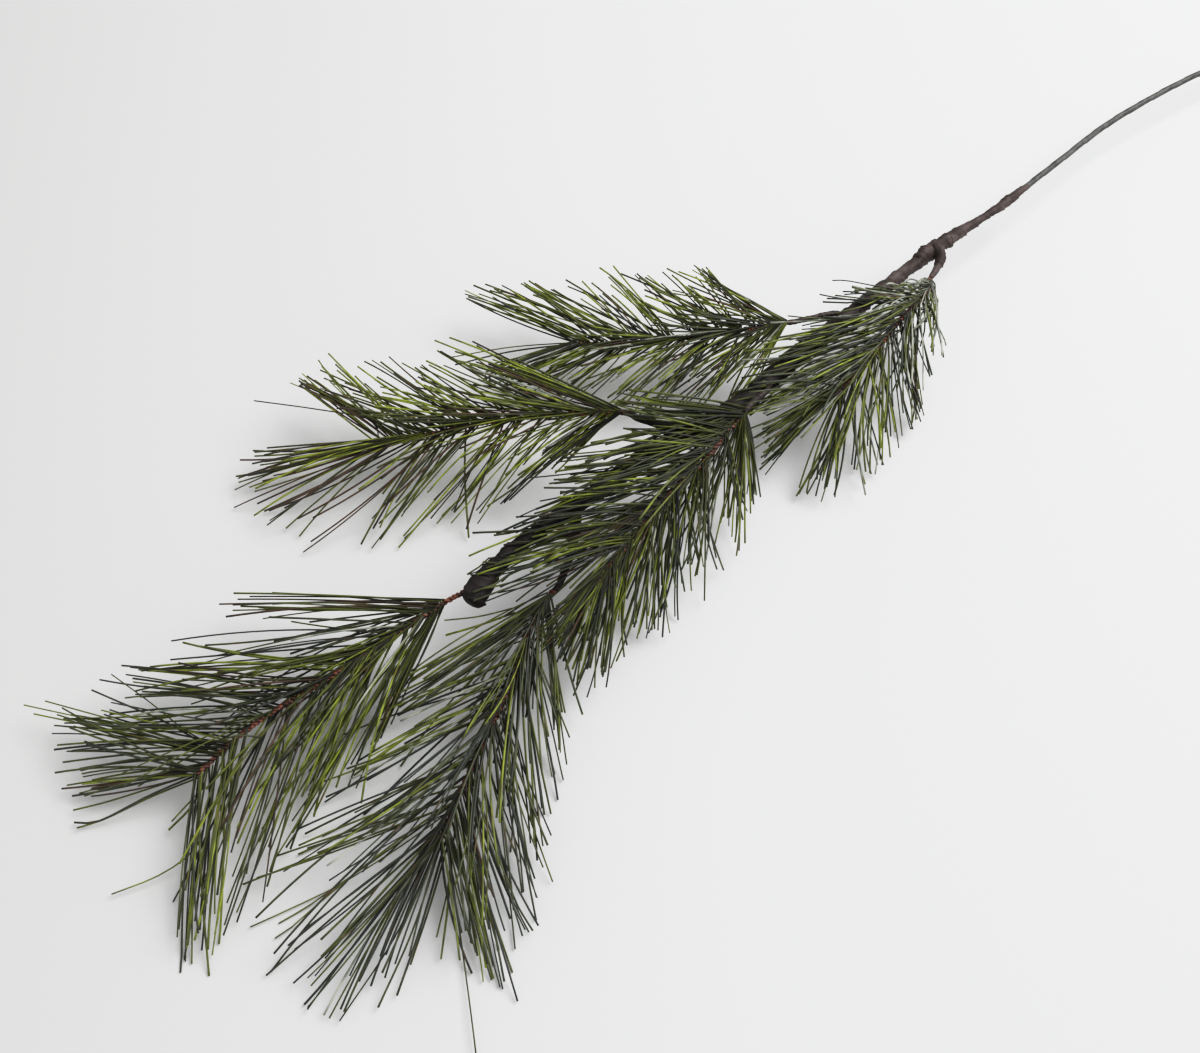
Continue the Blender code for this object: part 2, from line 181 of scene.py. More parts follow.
# The stretch of taped stem that needles keep off, and how clear of it they lie.
STEM_ROOM = 0.7
STEM_ROOM_SPAN = (150.0, -211.0)
STEM_ROOM_STEP = 2.0
PLACES_AT_ONCE = 4000

# Where bunches of needles start, as shares of the wire: most evenly, the rest so that their tips are even.
SPRIG_SEED_STEP = 7
BUNCH = 3
EVEN_STARTS = 0.6
LONGEST_TIP_STEP = 2.5
FIRST_START = 0.01
LAST_STARTS = (0.92, 1)
START_JITTER = 0.010

# How bunches lean back and ahead along the wire, so that needles cross, and fan out at its two ends.
CROSSING = 0.09
CROSSING_JITTER = 0.02
FAN_LENGTH = 0.15
START_FAN = 0.22
END_FAN = 0.12
LEAN_MIX = 0.7549

# Which way bunches point around the wire, in radians from the near side, and how much that varies: the
# near side, the far side, the crown and the few that point down.
ROLLS = np.array([0.15, math.pi - 0.15, math.pi / 2, -math.pi / 2])
ROLL_SPREADS = np.array([0.55, 0.55, 0.45, 0.4])
ROLL_JITTER = 0.35
ROLL_MIX = 0.618
DOWN_SHARE = 0.07

# Where the tip's needles part, and how the crown is kept low there and at the wire's start.
PARTING_START = 0.6
PARTING_LENGTH = 0.3
PARTED_LIFT_LOSS = 0.6
LOW_LIFT = 0.5
START_LIFT = 0.4
START_LIFT_LENGTH = 0.2
LEAST_REACH = 0.9
CROWN_SHORTENING = 0.3

# How needles stray from their rows: turns in degrees, then lengths, then bows as shares of the length.
BUNCH_TURN = 1.5
NEEDLE_TURN = 2.2
LOOSE_TURN = 7.0
LOOSE_SHARE = 0.07
SHORTEST = 0.75
LENGTH_RANGE = 0.31
LENGTH_BETA = (2.2, 1.3)
BUNCH_BOW = 0.016
NEEDLE_BOW = 0.012
UPWARD_BOW = (0.008, 0.02)

# Where a needle starts beside the wire, or over it where it crosses: how far out to its side, and how high.
BESIDE_OUT = 0.6
BESIDE_UP = 0.4
OVER_OUT = -0.9
OVER_UP = 1.6

# Frizz at a wire's start: bent needles, most of them curled up short, that wave in two directions.
FRIZZ_REACH = 1.2
CURLED_SHARE = 0.6
CURLED_LOSS = (0.3, 0.75)
STRAIGHT_LOSS = (0, 0.15)
FRIZZ_WAVES = (0.7, 1.6)
FRIZZ_WAVE_SIZES = (0.8, 3.2)
FRIZZ_PALE = 0.75

# The palette's strips, one for each tone: greens up to GREEN_END, then browns, then pale grey-green tones.
PALETTE_STRIPS = 64
STRIP_LOW = 0.15
STRIP_HEIGHT = 0.7
STRIP_LENGTH = (0.01, 0.97)
NEEDLE_END_UV = [(0.975, 0.2), (0.985, 0.2), (0.985, 0.5), (0.975, 0.5)]
GREEN_END = 0.86
BROWN_TONES = (0.90, 0.935)
PALE_TONES = (0.969, 0.999)
BUNCH_TONE_SPREAD = 0.17
NEEDLE_TONE_SPREAD = 0.2
BROWN_IN_BUNCH = 0.8

# Colours, as (place on the ramp, colour), and how the needles' spots are spread.
BLACK = (0, 0, 0)
WHITE = (1, 1, 1)
NEEDLE_COLOURS = [
    (0.00, (0.044, 0.048, 0.040)),
    (0.20, (0.060, 0.067, 0.042)),
    (0.38, (0.090, 0.101, 0.036)),
    (0.56, (0.132, 0.150, 0.032)),
    (0.74, (0.200, 0.232, 0.034)),
    (0.87, (0.300, 0.350, 0.050)),
    (0.90, (0.052, 0.036, 0.028)),
    (0.935, (0.120, 0.072, 0.044)),
    (0.955, (0.130, 0.150, 0.105)),
    (0.985, (0.450, 0.470, 0.390)),
]
NEEDLE_DARK = (0.034, 0.040, 0.036, 1.0)
NEEDLE_RUST = (0.11, 0.065, 0.035, 1.0)
# Needles darken towards where they leave the wire: partly their own tone, partly painted shade of the
# crowded core.
NEEDLE_ROOT_TONE_AND_PAINTED_SHADE = [(0.0, (0.32, 0.30, 0.29)), (0.18, (0.55, 0.54, 0.53)), (0.45, WHITE)]
SPOTS_ALONG = 7.0
SPOTS_APART = 7.31
RUST_SHIFT = (31.0, 17.0, 5.0)
BARE_WIRE_COLOURS = [(0.35, (0.045, 0.017, 0.014)), (0.52, (0.11, 0.036, 0.023)), (0.68, (0.26, 0.1, 0.055))]
COATING_COLOURS = [(0.35, (0.013, 0.009, 0.008)), (0.52, (0.03, 0.02, 0.016)), (0.68, (0.075, 0.045, 0.033))]
TAPE_COLOURS = [(0.38, (0.030, 0.021, 0.019)), (0.5, (0.048, 0.035, 0.032)), (0.62, (0.086, 0.066, 0.061))]
WRAP_COLOURS = [(0.35, (0.022, 0.022, 0.020)), (0.5, (0.048, 0.048, 0.044)), (0.65, (0.080, 0.084, 0.076))]
# The floor's paper, darker towards the camera's left as painted shade.
FLOOR_PAPER_AND_PAINTED_SHADE = [(0.0, (0.66, 0.655, 0.65)), (1.0, (0.80, 0.805, 0.81))]

# What most sprigs have. dark_shank: the bare shank is dark brown, not red. frizz: the share of the wire
# whose needles are bent. thin: the shares of the wire between which far needles are missing, and how many
# of them are. tangle: how much more than usual needles turn and bend out of their rows.
USUAL = {"dark_shank": False, "frizz": 0.0, "thin": (0.0, 0.0, 0.0), "tangle": 1.0}

# Each sprig, numbered from the stem's far end. leaves, shank, wire and tape: as in the model. near and far:
# where full-length needles reach on the two sides of the wire, as (share of the wire, x, y, height).
# needles: how many. near_share: the share of the side ones that point to the near side. crown: the share
# of all that stand up over the wire. cover: the share of needles that cross over the wire and hide it.
# rise: how high the crown reaches, as a share of the spread. parting: how clear the tip's needles leave the
# way straight ahead, from 0 to 1. first, last, pale and brown: the shares of needles at the wire's start
# and end, and of pale and brown ones. tone: the needles' middle tone, from 0, charcoal, to 1, bright
# yellow-green. strays: single needles that break the rows, as their tone and the points on their way.
SPRIGS = {}
SPRIGS["sprig_1"] = {
    "leaves": None,
    "shank": [(-205, -3, 40), (-211, -2, 38)],
    "wire": [(-218, -1, 36), (-252, -1, 31), (-284, -2, 28), (-317, -2, 25), (-349, -8, 22)],
    "near": [
        (0.0, -268, -30, 4), (0.07, -298, -45, 4), (0.2, -325, -49, 4), (0.4, -346, -59, 4),
        (0.6, -366, -70, 3), (0.8, -383, -79, 3), (0.92, -390, -76, 3), (1.0, -392, -66, 3),
    ],
    "far": [
        (0.0, -287, 65, 22), (0.05, -298, 62, 22), (0.2, -322, 56, 22), (0.34, -341, 58, 20),
        (0.53, -361, 55, 18), (0.7, -377, 55, 16), (0.8, -389, 57, 15), (0.88, -398, 58, 13),
        (0.94, -400, 47, 10), (0.97, -399, 31, 8), (1.0, -397, 16, 6),
    ],
    "tape": False, "needles": 261, "near_share": 0.54, "crown": 0.15, "cover": 0.15, "rise": 0.25,
    "parting": 0.95, "first": 0.14, "last": 0.06, "pale": 0.02, "brown": 0.08, "tone": 0.44,
    "strays": [
        (0.7, (-341, -8, 22), (-354, -23, 12), (-365, -32, 7), (-383, -33, 4), (-404, -29, 3)),
        (0.6, (-347, -12, 20), (-358, -15, 10), (-371, -17, 5)),
        (0.7, (-348, -14, 20), (-359, -14, 12), (-368, -15, 7)),
        (0.5, (-347, -8, 22), (-365, 0, 14), (-387, 9, 6), (-403, 15, 4)),
        (0.2, (-348, -8, 21), (-371, -1, 12), (-395, 4, 4), (-405, 10, 3)),
        (0.7, (-348, -9, 20), (-371, -1, 10), (-393, 4, 3), (-405, 7, 3)),
        (0.3, (-317, -12, 30), (-325, -7, 33), (-332, -4, 31)),
        (0.3, (-333, -6, 26), (-343, 10, 24), (-352, 35, 22), (-361, 58, 20)),
        (0.2, (-338, -2, 24), (-350, 23, 20), (-362, 42, 18), (-372, 58, 16)),
        (0.75, (-341, -1, 22), (-368, 33, 18), (-401, 69, 14)),
        (0.8, (-341, -1, 21), (-368, 30, 17), (-399, 63, 13)),
        (0.6, (-340, -1, 23), (-364, 31, 19), (-392, 65, 15)),
    ],
}
SPRIGS["sprig_2"] = {
    "leaves": -142,
    "shank": [(-150, -6, 42), (-159, -14, 38), (-169, -21, 34)],
    "wire": [
        (-175, -22, 32), (-188, -29, 30), (-211, -48, 27), (-231, -62, 26), (-249, -74, 25), (-274, -92, 22),
    ],
    "near": [
        (0.0, -190, -73, 4), (0.1, -211, -92, 4), (0.26, -231, -109, 4), (0.47, -249, -129, 4),
        (0.7, -266, -147, 3), (0.84, -279, -159, 3), (0.93, -283, -157, 3), (1.0, -284, -145, 3),
    ],
    "far": [
        (0.0, -248, -15, 21), (0.17, -270, -24, 14), (0.33, -292, -35, 8), (0.47, -310, -41, 6),
        (0.62, -332, -51, 5), (0.74, -355, -59, 5), (0.82, -363, -72, 4), (0.89, -360, -94, 4),
        (0.95, -350, -125, 4), (1.0, -327, -135, 4),
    ],
    "tape": True, "needles": 237, "near_share": 0.55, "crown": 0.18, "cover": 0.6, "rise": 0.5,
    "parting": 0.75, "first": 0.15, "last": 0.1, "pale": 0.04, "brown": 0.05, "tone": 0.33,
    "strays": [
        (0.6, (-189, -19, 31), (-206, -11, 26), (-220, -2, 22)),
        (0.8, (-192, -20, 30), (-208, -14, 24), (-223, -8, 20)),
        (0.3, (-271, -95, 22), (-279, -110, 10), (-289, -134, 3), (-299, -158, 3), (-305, -172, 3)),
        (0.2, (-241, -79, 24), (-246, -110, 8), (-250, -131, 3)),
        (0.2, (-246, -82, 20), (-258, -123, 6), (-259, -142, 3)),
        (0.25, (-273, -91, 22), (-309, -113, 8), (-346, -130, 3)),
        (0.3, (-273, -92, 20), (-302, -115, 8), (-330, -134, 3)),
        (0.2, (-272, -93, 20), (-298, -115, 7), (-321, -134, 3)),
        (0.35, (-270, -93, 20), (-291, -110, 7), (-310, -126, 3)),
        (0.6, (-269, -93, 20), (-283, -112, 7), (-298, -131, 3)),
        (0.5, (-267, -92, 20), (-281, -108, 8), (-295, -122, 3)),
        (0.4, (-265, -91, 20), (-274, -113, 8), (-284, -132, 3)),
    ],
}
SPRIGS["sprig_3"] = {
    "leaves": -22,
    "shank": [(-32, 6, 52), (-41, 4, 53)],
    "dark_shank": True, "thin": (0.0, 0.1, 0.4), "tangle": 1.6,
    "wire": [
        (-50, 1, 53), (-64, -4, 53), (-82, -11, 52), (-109, -18, 51), (-138, -28, 48), (-156, -34, 45),
    ],
    "near": [
        (0.0, -48, -20, 6), (0.04, -64, -31, 6), (0.12, -75, -37, 6), (0.27, -95, -45, 5),
        (0.4, -112, -50, 4), (0.55, -136, -56, 5), (0.7, -162, -61, 7), (0.89, -184, -67, 10),
        (1.0, -187, -48, 14),
    ],
    "far": [
        (0.0, -89, 41, 53), (0.07, -106, 37, 52), (0.15, -127, 30, 51), (0.25, -145, 25, 50),
        (0.38, -165, 17, 48), (0.6, -190, 5, 45), (0.72, -204, 1, 42), (0.8, -202, -7, 38),
        (0.82, -187, -38, 31), (1.0, -190, -49, 24),
    ],
    "tape": False, "needles": 465, "near_share": 0.4, "crown": 0.2, "cover": 0.9, "rise": 0.45,
    "parting": 0.0, "first": 0.12, "last": 0.04, "pale": 0.015, "brown": 0.05, "tone": 0.41,
    "strays": [
        (0.25, (-140, -12, 48), (-172, 7, 47), (-191, 18, 47)),
        (0.7, (-78, -8, 54), (-104, -15, 61), (-129, -27, 66)),
        (0.6, (-89, -13, 54), (-111, -22, 59), (-127, -29, 62)),
        (0.5, (-48, 1, 56), (-57, 10, 57), (-74, 27, 56), (-89, 41, 55)),
        (0.3, (-51, -1, 56), (-71, 16, 56), (-86, 29, 55)),
        (0.2, (-52, -1, 57), (-72, 15, 57), (-95, 38, 54)),
        (0.4, (-52, -2, 56), (-76, 14, 56), (-100, 35, 54)),
        (0.3, (-107, -19, 54), (-125, -6, 57), (-148, 10, 56)),
        (0.5, (-112, -20, 54), (-132, -9, 57), (-154, 4, 56)),
        (0.2, (-119, -22, 53), (-137, -11, 57), (-159, 2, 55)),
        (0.35, (-125, -24, 53), (-143, -13, 56), (-164, -3, 54)),
        (0.15, (-101, -17, 54), (-119, -2, 57), (-140, 14, 56)),
    ],
}
SPRIGS["sprig_4"] = {
    "leaves": -70,
    "shank": [(-84, 18, 49), (-92, 28, 49)],
    "wire": [(-97, 36, 48), (-122, 54, 44), (-152, 73, 38), (-182, 88, 31), (-201, 99, 28)],
    "near": [
        (0.0, -124, 39, 20), (0.08, -150, 41, 13), (0.2, -170, 43, 7), (0.32, -186, 48, 4),
        (0.45, -200, 56, 4), (0.6, -220, 55, 4), (0.73, -238, 67, 5), (0.82, -256, 82, 5),
        (0.87, -268, 99, 5), (0.91, -270, 120, 5), (0.95, -268, 131, 6), (0.98, -262, 137, 8),
        (1.0, -246, 140, 10),
    ],
    "far": [
        (0.0, -129, 107, 46), (0.18, -149, 123, 42), (0.42, -170, 130, 38), (0.6, -189, 143, 34),
        (0.77, -201, 154, 31), (0.9, -213, 158, 29), (1.0, -221, 154, 27),
    ],
    "tape": True, "needles": 267, "near_share": 0.59, "crown": 0.26, "cover": 0.35, "rise": 0.45,
    "parting": 0.85, "first": 0.1, "last": 0.05, "pale": 0.02, "brown": 0.26, "tone": 0.63,
    "strays": [
        (0.1, (-199, 98, 29), (-197, 109, 32), (-216, 127, 34), (-241, 148, 36)),
        (0.6, (-160, 79, 33), (-171, 64, 16), (-184, 40, 3)),
    ],
}
SPRIGS["sprig_5"] = {
    "leaves": 40,
    "shank": [(30, 34, 39)],
    "dark_shank": True,
    "wire": [(8, 42, 38), (-39, 65, 34), (-58, 76, 32), (-76, 88, 30), (-88, 98, 28)],
    "near": [
        (0.0, -33, 27, 14), (0.1, -50, 35, 14), (0.33, -82, 48, 16), (0.5, -100, 63, 16),
        (0.7, -113, 82, 15), (0.85, -124, 97, 15), (1.0, -133, 116, 14),
    ],
    "far": [
        (0.0, -1, 93, 38), (0.1, -12, 99, 37), (0.3, -35, 117, 35), (0.56, -60, 132, 33),
        (0.75, -83, 145, 28), (0.88, -105, 156, 25), (0.95, -114, 160, 23), (1.0, -112, 153, 22),
    ],
    "tape": False, "needles": 282, "near_share": 0.6, "crown": 0.26, "cover": 0.6, "rise": 0.4,
    "parting": 0.85, "first": 0.1, "last": 0.05, "pale": 0.03, "brown": 0.14, "tone": 0.5,
    "strays": [
        (0.9, (-87, 98, 28), (-113, 115, 24), (-141, 129, 20)),
        (0.2, (-87, 97, 28), (-114, 114, 22), (-141, 125, 18)),
    ],
}
SPRIGS["sprig_6"] = {
    "leaves": 110,
    "shank": [(105.8, 34.8, 31.5), (99, 30.6, 32)],
    "wire": [(90, 26, 33), (83, 20, 35), (54, 10, 38), (29, 0, 38), (4, -6, 34)],
    "near": [
        (0.0, 84, 5, 13), (0.17, 64, -17, 6), (0.28, 52, -25, 5), (0.5, 33, -35, 5), (0.63, 20, -37, 4),
        (0.75, 4, -44, 4), (0.86, -13, -46, 4), (0.93, -26, -40, 4), (1.0, -34, -26, 4),
    ],
    "far": [
        (0.0, 43, 46, 42), (0.1, 29, 48, 43), (0.18, 23, 46, 43), (0.19, 2, 29, 44), (0.3, -10, 27, 44),
        (0.38, -20, 27, 45), (0.46, -33, 25, 46), (0.6, -44, 16, 43), (0.75, -47, 4, 34), (0.9, -45, -5, 20),
        (1.0, -40, -10, 10),
    ],
    "tape": True, "needles": 321, "near_share": 0.4, "frizz": 0.2, "thin": (0.0, 0.19, 0.6),
    "tangle": 1.5, "crown": 0.15, "cover": 0.9, "rise": 0.45, "parting": 0.85, "first": 0.06,
    "last": 0.06, "pale": 0.1, "brown": 0.03, "tone": 0.4,
    "strays": [
        (0.3, (21, 8, 44), (-13, 5, 52), (-45, 15, 50)),
        (0.5, (15, 3, 44), (-19, 1, 52), (-50, 12, 49)),
        (0.25, (27, 8, 44), (-6, 9, 52), (-37, 20, 50)),
        (0.6, (9, 0, 44), (-25, -3, 52), (-48, 7, 46)),
        (0.2, (31, 10, 44), (0, 13, 52), (-29, 24, 50)),
        (0.35, (37, 13, 44), (8, 16, 52), (-21, 28, 50)),
        (0.45, (3, -4, 42), (-27, -7, 46), (-51, -1, 40)),
        (0.3, (5, -4, 35), (-21, -1, 54), (-44, 6, 60)),
        (0.15, (9, -4, 36), (-16, 1, 54), (-39, 9, 60)),
        (0.4, (3, -6, 34), (-25, -4, 54), (-49, 2, 59)),
        (0.25, (13, -3, 37), (-11, 3, 54), (-35, 11, 60)),
        (0.5, (1, -7, 34), (-27, -5, 52), (-51, -3, 58)),
    ],
}


def unit(vectors):
    return vectors / np.maximum(np.linalg.norm(vectors, axis=-1, keepdims=True), 1e-9)


def smooth_route(points, step):
    """Rows about a step apart on the Catmull-Rom curve through the points. The first three numbers of a
    row are its place, and any others are carried along."""
    points = np.array(points, float)
    before = 2 * points[0] - points[1]
    after = 2 * points[-1] - points[-2]
    padded = np.vstack([before, points, after])
    found = []
    for a, b, c, d in zip(padded, padded[1:], padded[2:], padded[3:]):
        pieces = max(1, round(np.linalg.norm(c[:3] - b[:3]) / step))
        slope = c - a
        curve = 2 * a - 5 * b + 4 * c - d
        swing = 3 * b - a - 3 * c + d
        for t in np.arange(pieces) / pieces:
            found.append(0.5 * (2 * b + slope * t + curve * t**2 + swing * t**3))
    return np.array([*found, points[-1]])


def distances_along(route):
    """How far each row of the route is from its start."""
    steps = np.linalg.norm(np.diff(route[:, :3], axis=0), axis=1)
    return np.concatenate([[0.0], np.cumsum(steps)])


def rows_at(table, keys, wanted):
    """The table's rows, blended at the wanted values of their keys."""
    return np.stack([np.interp(wanted, keys, column) for column in table.T], axis=-1)


def even_route(points, step):
    """The smooth route with its rows evenly spaced."""
    route = smooth_route(points, min(step, FINE_STEP))
    along = distances_along(route)
    count = max(2, round(along[-1] / step) + 1)
    return rows_at(route, along, np.linspace(0.0, along[-1], count))


def stem_rows(wanted_x):
    """Rows of the stem's route at the wanted values of x."""
    route = smooth_route(STEM_ROUTE, FINE_STEP)
    return rows_at(route[::-1], route[::-1, 0], np.array(wanted_x))


def stem_stretch(x_from, x_to, step):
    """The stem's evenly spaced route between two values of x."""
    route = smooth_route(STEM_ROUTE, FINE_STEP)
    inner = route[(route[:, 0] < x_from) & (route[:, 0] > x_to)]
    ends = stem_rows([x_from, x_to])
    return even_route(np.vstack([ends[0], inner, ends[1]]), step)


def side_axes(route):
    """Two unit directions across each row of the route, which turn as little as they can along it."""
    forward = unit(np.gradient(route[:, :3], axis=0))
    across = np.cross(UP, forward[0])
    sides = []
    for direction in forward:
        across = across - direction * across.dot(direction)
        across = across / np.linalg.norm(across)
        sides.append(across)
    sides = np.array(sides)
    return sides, np.cross(forward, sides)


def mesh_object(name, places, faces, uvs=None):
    """A smooth mesh object from places in millimetres and quads, or triangles padded with -1."""
    faces = np.asarray(faces)
    sizes = (faces >= 0).sum(1)
    corners = faces[faces >= 0]
    starts = np.concatenate([[0], np.cumsum(sizes)[:-1]])
    mesh = bpy.data.meshes.new(name)
    mesh.vertices.add(len(places))
    mesh.vertices.foreach_set("co", (np.asarray(places) * MM).astype(np.float32).ravel())
    mesh.loops.add(len(corners))
    mesh.loops.foreach_set("vertex_index", corners.astype(np.int32))
    mesh.polygons.add(len(faces))
    mesh.polygons.foreach_set("loop_start", starts.astype(np.int32))
    mesh.update(calc_edges=True)
    mesh.shade_smooth()
    if uvs is not None:
        layer = mesh.uv_layers.new(name="OFBake")
        layer.data.foreach_set("uv", np.asarray(uvs, np.float32).ravel())
    mesh.validate()
    made = bpy.data.objects.new(name, mesh)
    bpy.context.scene.collection.objects.link(made)
    return made


def sweep(route, radii):
    """Rings of a tube along the route. radii is one row for each station and one column for each side."""
    first, second = side_axes(route)
    sides = radii.shape[1]
    angles = (FULL_TURN * np.arange(sides) / sides)[:, None]
    out = np.cos(angles) * first[:, None, :] + np.sin(angles) * second[:, None, :]
    return route[:, None, :3] + out * radii[:, :, None]


def wall_quads(rings):
    """Quads between neighbouring rings, from a table with one row of corner numbers for each ring."""
    turned = np.roll(rings, -1, axis=1)
    return np.stack([rings[:-1], turned[:-1], turned[1:], rings[1:]], axis=-1).reshape(-1, 4)


def tube_faces(stations, sides, start):
    """Quads of a tube's wall and triangles that close its ends on two added middle points."""
    rings = start + np.arange(stations * sides).reshape(stations, sides)
    first_middle = np.full(sides, start + stations * sides)
    none = np.full(sides, -1)
    base = np.stack([np.roll(rings[0], -1), rings[0], first_middle, none], axis=-1)
    top = np.stack([rings[-1], np.roll(rings[-1], -1), first_middle + 1, none], axis=-1)
    return np.vstack([wall_quads(rings), base, top])


def joined_tubes(tubes):
    """Places and faces of closed tubes, each given as its rings."""
    places = []
    faces = []
    for rings in tubes:
        faces.append(tube_faces(*rings.shape[:2], start=sum(map(len, places))))
        places += [rings.reshape(-1, 3), rings[[0, -1]].mean(1)]
    return np.vstack(places), np.vstack(faces)


def smooth_noise(count, spacing, dice):
    """Numbers from -1 to 1 for a row of stations, which change slowly over this many stations."""
    knots = dice.uniform(-1, 1, max(4, int(count / spacing) + 3))
    return np.interp(np.arange(count) / spacing, np.arange(len(knots)), knots)


def even_mix(count, ratio, dice):
    """Numbers from 0 to 1 for a row of things, mixed so that any few neighbours differ evenly."""
    return (np.arange(count) * ratio + dice.random()) % 1


def sprig_points(sprig):
    """A sprig's wire from inside the stem's tape to its free end."""
    points = [*sprig["shank"], *sprig["wire"]]
    if sprig["leaves"] is not None:
        foot = stem_rows([sprig["leaves"]])[0, :3]
        out = unit(np.array(points[0], float) - foot)
        points.insert(0, tuple(foot + out * (STEM_WIRE_RADIUS + FOOT_GAP)))
    return points


def needle_starts(sprig, count, dice):
    """Where along the wire bunches start: most evenly, and the rest so that their tips are even."""
    shares = np.linspace(0, 1, OUTLINE_SAMPLES)
    by_tip = 0
    for side in ("near", "far"):
        table = np.array(sprig[side], float)
        steps = np.diff(distances_along(rows_at(table[:, 1:3], table[:, 0], shares)))
        tips = np.concatenate([[0], np.cumsum(np.minimum(steps, LONGEST_TIP_STEP * steps.mean()))])
        by_tip = by_tip + tips / tips[-1] / 2
    wanted = (np.arange(count) + dice.uniform(0, 1, count)) / count
    even = dice.uniform(0, 1, count) < EVEN_STARTS
    found = np.where(even, wanted, np.interp(wanted, by_tip, shares))
    found[dice.random(count) < sprig["first"]] = FIRST_START
    return np.where(dice.random(count) < sprig["last"], dice.uniform(*LAST_STARTS, count), found)


def side_reaches(sprig, shares, base, bunch, dice):
    """From each needle's start to where it would end on the near side and on the far side."""
    bunches = bunch[-1] + 1
    back = even_mix(bunches, LEAN_MIX, dice) < 0.5
    lean = np.where(back, -CROSSING, CROSSING) + dice.normal(0, CROSSING_JITTER, bunches)
    inner = np.clip(np.minimum(shares, 1 - shares) / FAN_LENGTH, 0, 1)
    fan = (dice.random(bunches) ** 2)[bunch] * np.where(shares < 0.5, START_FAN, -END_FAN)
    tip_shares = np.clip(shares + lean[bunch] * inner + fan * (1 - inner), 0, 1)
    tables = [np.array(sprig[side], float) for side in ("near", "far")]
    return [rows_at(table[:, 1:], table[:, 0], tip_shares) - base for table in tables]


def roll_angles(sprig, bunch, dice):
    """Which way needles point around the wire: 0 is the near side, pi the far side, pi / 2 up."""
    bunches = bunch[-1] + 1
    sides = 1 - sprig["crown"] - DOWN_SHARE
    ends = np.cumsum([sides * sprig["near_share"], sides * (1 - sprig["near_share"]), sprig["crown"]])
    kinds = np.searchsorted(ends, even_mix(bunches, ROLL_MIX, dice))
    rolls = ROLLS[kinds] + dice.normal(0, 1, bunches) * ROLL_SPREADS[kinds]
    return rolls[bunch] + dice.normal(0, ROLL_JITTER, len(bunch))


def aimed_reach(sprig, shares, roll, near, far):
    """Which way and how far each needle reaches, and from 1 to -1 how much to the near side."""
    side = np.cos(roll)
    lift = np.sin(roll)
    at_tip = np.clip((shares - PARTING_START) / PARTING_LENGTH, 0, 1) * sprig["parting"]
    side = np.where(side < 0, -1, 1) * (np.abs(side) * (1 - at_tip) + at_tip)
    to_near = (1 + side[:, None]) / 2
    reach = near * to_near + far * (1 - to_near)
    spread = np.linalg.norm(near - far, axis=1) / 2
    lift = np.where(lift < 0, LOW_LIFT * lift, lift) * (1 - PARTED_LIFT_LOSS * at_tip)
    lift = lift * np.minimum(START_LIFT + shares / START_LIFT_LENGTH, 1)
    reach[:, 2] += lift * spread * sprig["rise"]
    length = np.linalg.norm(reach, axis=1)
    near_length = np.linalg.norm(near, axis=1)
    far_length = np.linalg.norm(far, axis=1)
    full = near_length * to_near[:, 0] + far_length * (1 - to_near[:, 0])
    shorter = 1 - CROWN_SHORTENING * np.clip(lift, 0, 1)
    return reach * (np.maximum(length, LEAST_REACH * full) / length * shorter)[:, None], side


def strayed_reach(reach, bunch, tangle, dice):
    """The reaches, turned a little about the upright and cut to uneven lengths."""
    count = len(bunch)
    loose = dice.random(count) < LOOSE_SHARE
    turn = dice.normal(0, BUNCH_TURN, bunch[-1] + 1)[bunch]
    turn = turn + dice.normal(0, np.where(loose, LOOSE_TURN, NEEDLE_TURN))
    turn = np.radians(turn) * tangle
    strayed = reach.copy()
    strayed[:, 0] = reach[:, 0] * np.cos(turn) - reach[:, 1] * np.sin(turn)
    strayed[:, 1] = reach[:, 0] * np.sin(turn) + reach[:, 1] * np.cos(turn)
    return strayed * (SHORTEST + LENGTH_RANGE * dice.beta(*LENGTH_BETA, count))[:, None]


def bows(reach, across, bunch, tangle, dice):
    """How far the middle of each needle bends sideways and up from a straight line."""
    count = len(bunch)
    length = np.linalg.norm(reach, axis=1)
    sideways = dice.normal(0, BUNCH_BOW, bunch[-1] + 1)[bunch] + dice.normal(0, NEEDLE_BOW, count)
    upward = dice.normal(*UPWARD_BOW, count)
    return across * (sideways * length * tangle)[:, None] + UP * (upward * length)[:, None]


def add_frizz(lines, across, bent, dice):
    """Waves the bent needles sideways and up and down, more towards their tips."""
    count, steps = lines.shape[:2]
    t = np.linspace(0, 1, steps)[None, :]
    for direction in (across, np.broadcast_to(UP, across.shape)):
        turns = t * dice.uniform(*FRIZZ_WAVES, count)[:, None] + dice.random(count)[:, None]
        size = bent * dice.uniform(*FRIZZ_WAVE_SIZES, count)
        wave = np.sin(FULL_TURN * turns) * np.sqrt(t) * size[:, None]
        lines += direction[:, None, :] * wave[..., None]


def keep_off_stem(lines):
    """Moves points of the needles' lines out of the taped stem."""
    stem = stem_stretch(*STEM_ROOM_SPAN, STEM_ROOM_STEP)
    flat = lines.reshape(-1, 3)
    for start in range(0, len(flat), PLACES_AT_ONCE):
        part = flat[start : start + PLACES_AT_ONCE]
        gaps = part[:, None, :] - stem[None, :, :3]
        distances = np.linalg.norm(gaps, axis=2)
        nearest = distances.argmin(1)
        rows = np.arange(len(part))
        room = stem[nearest, 3] + STEM_ROOM + NEEDLE_THICKNESS
        distance = distances[rows, nearest]
        out = gaps[rows, nearest] / np.maximum(distance, 1e-6)[:, None]
        part += out * np.maximum(room - distance, 0.0)[:, None]
    return flat.reshape(lines.shape)


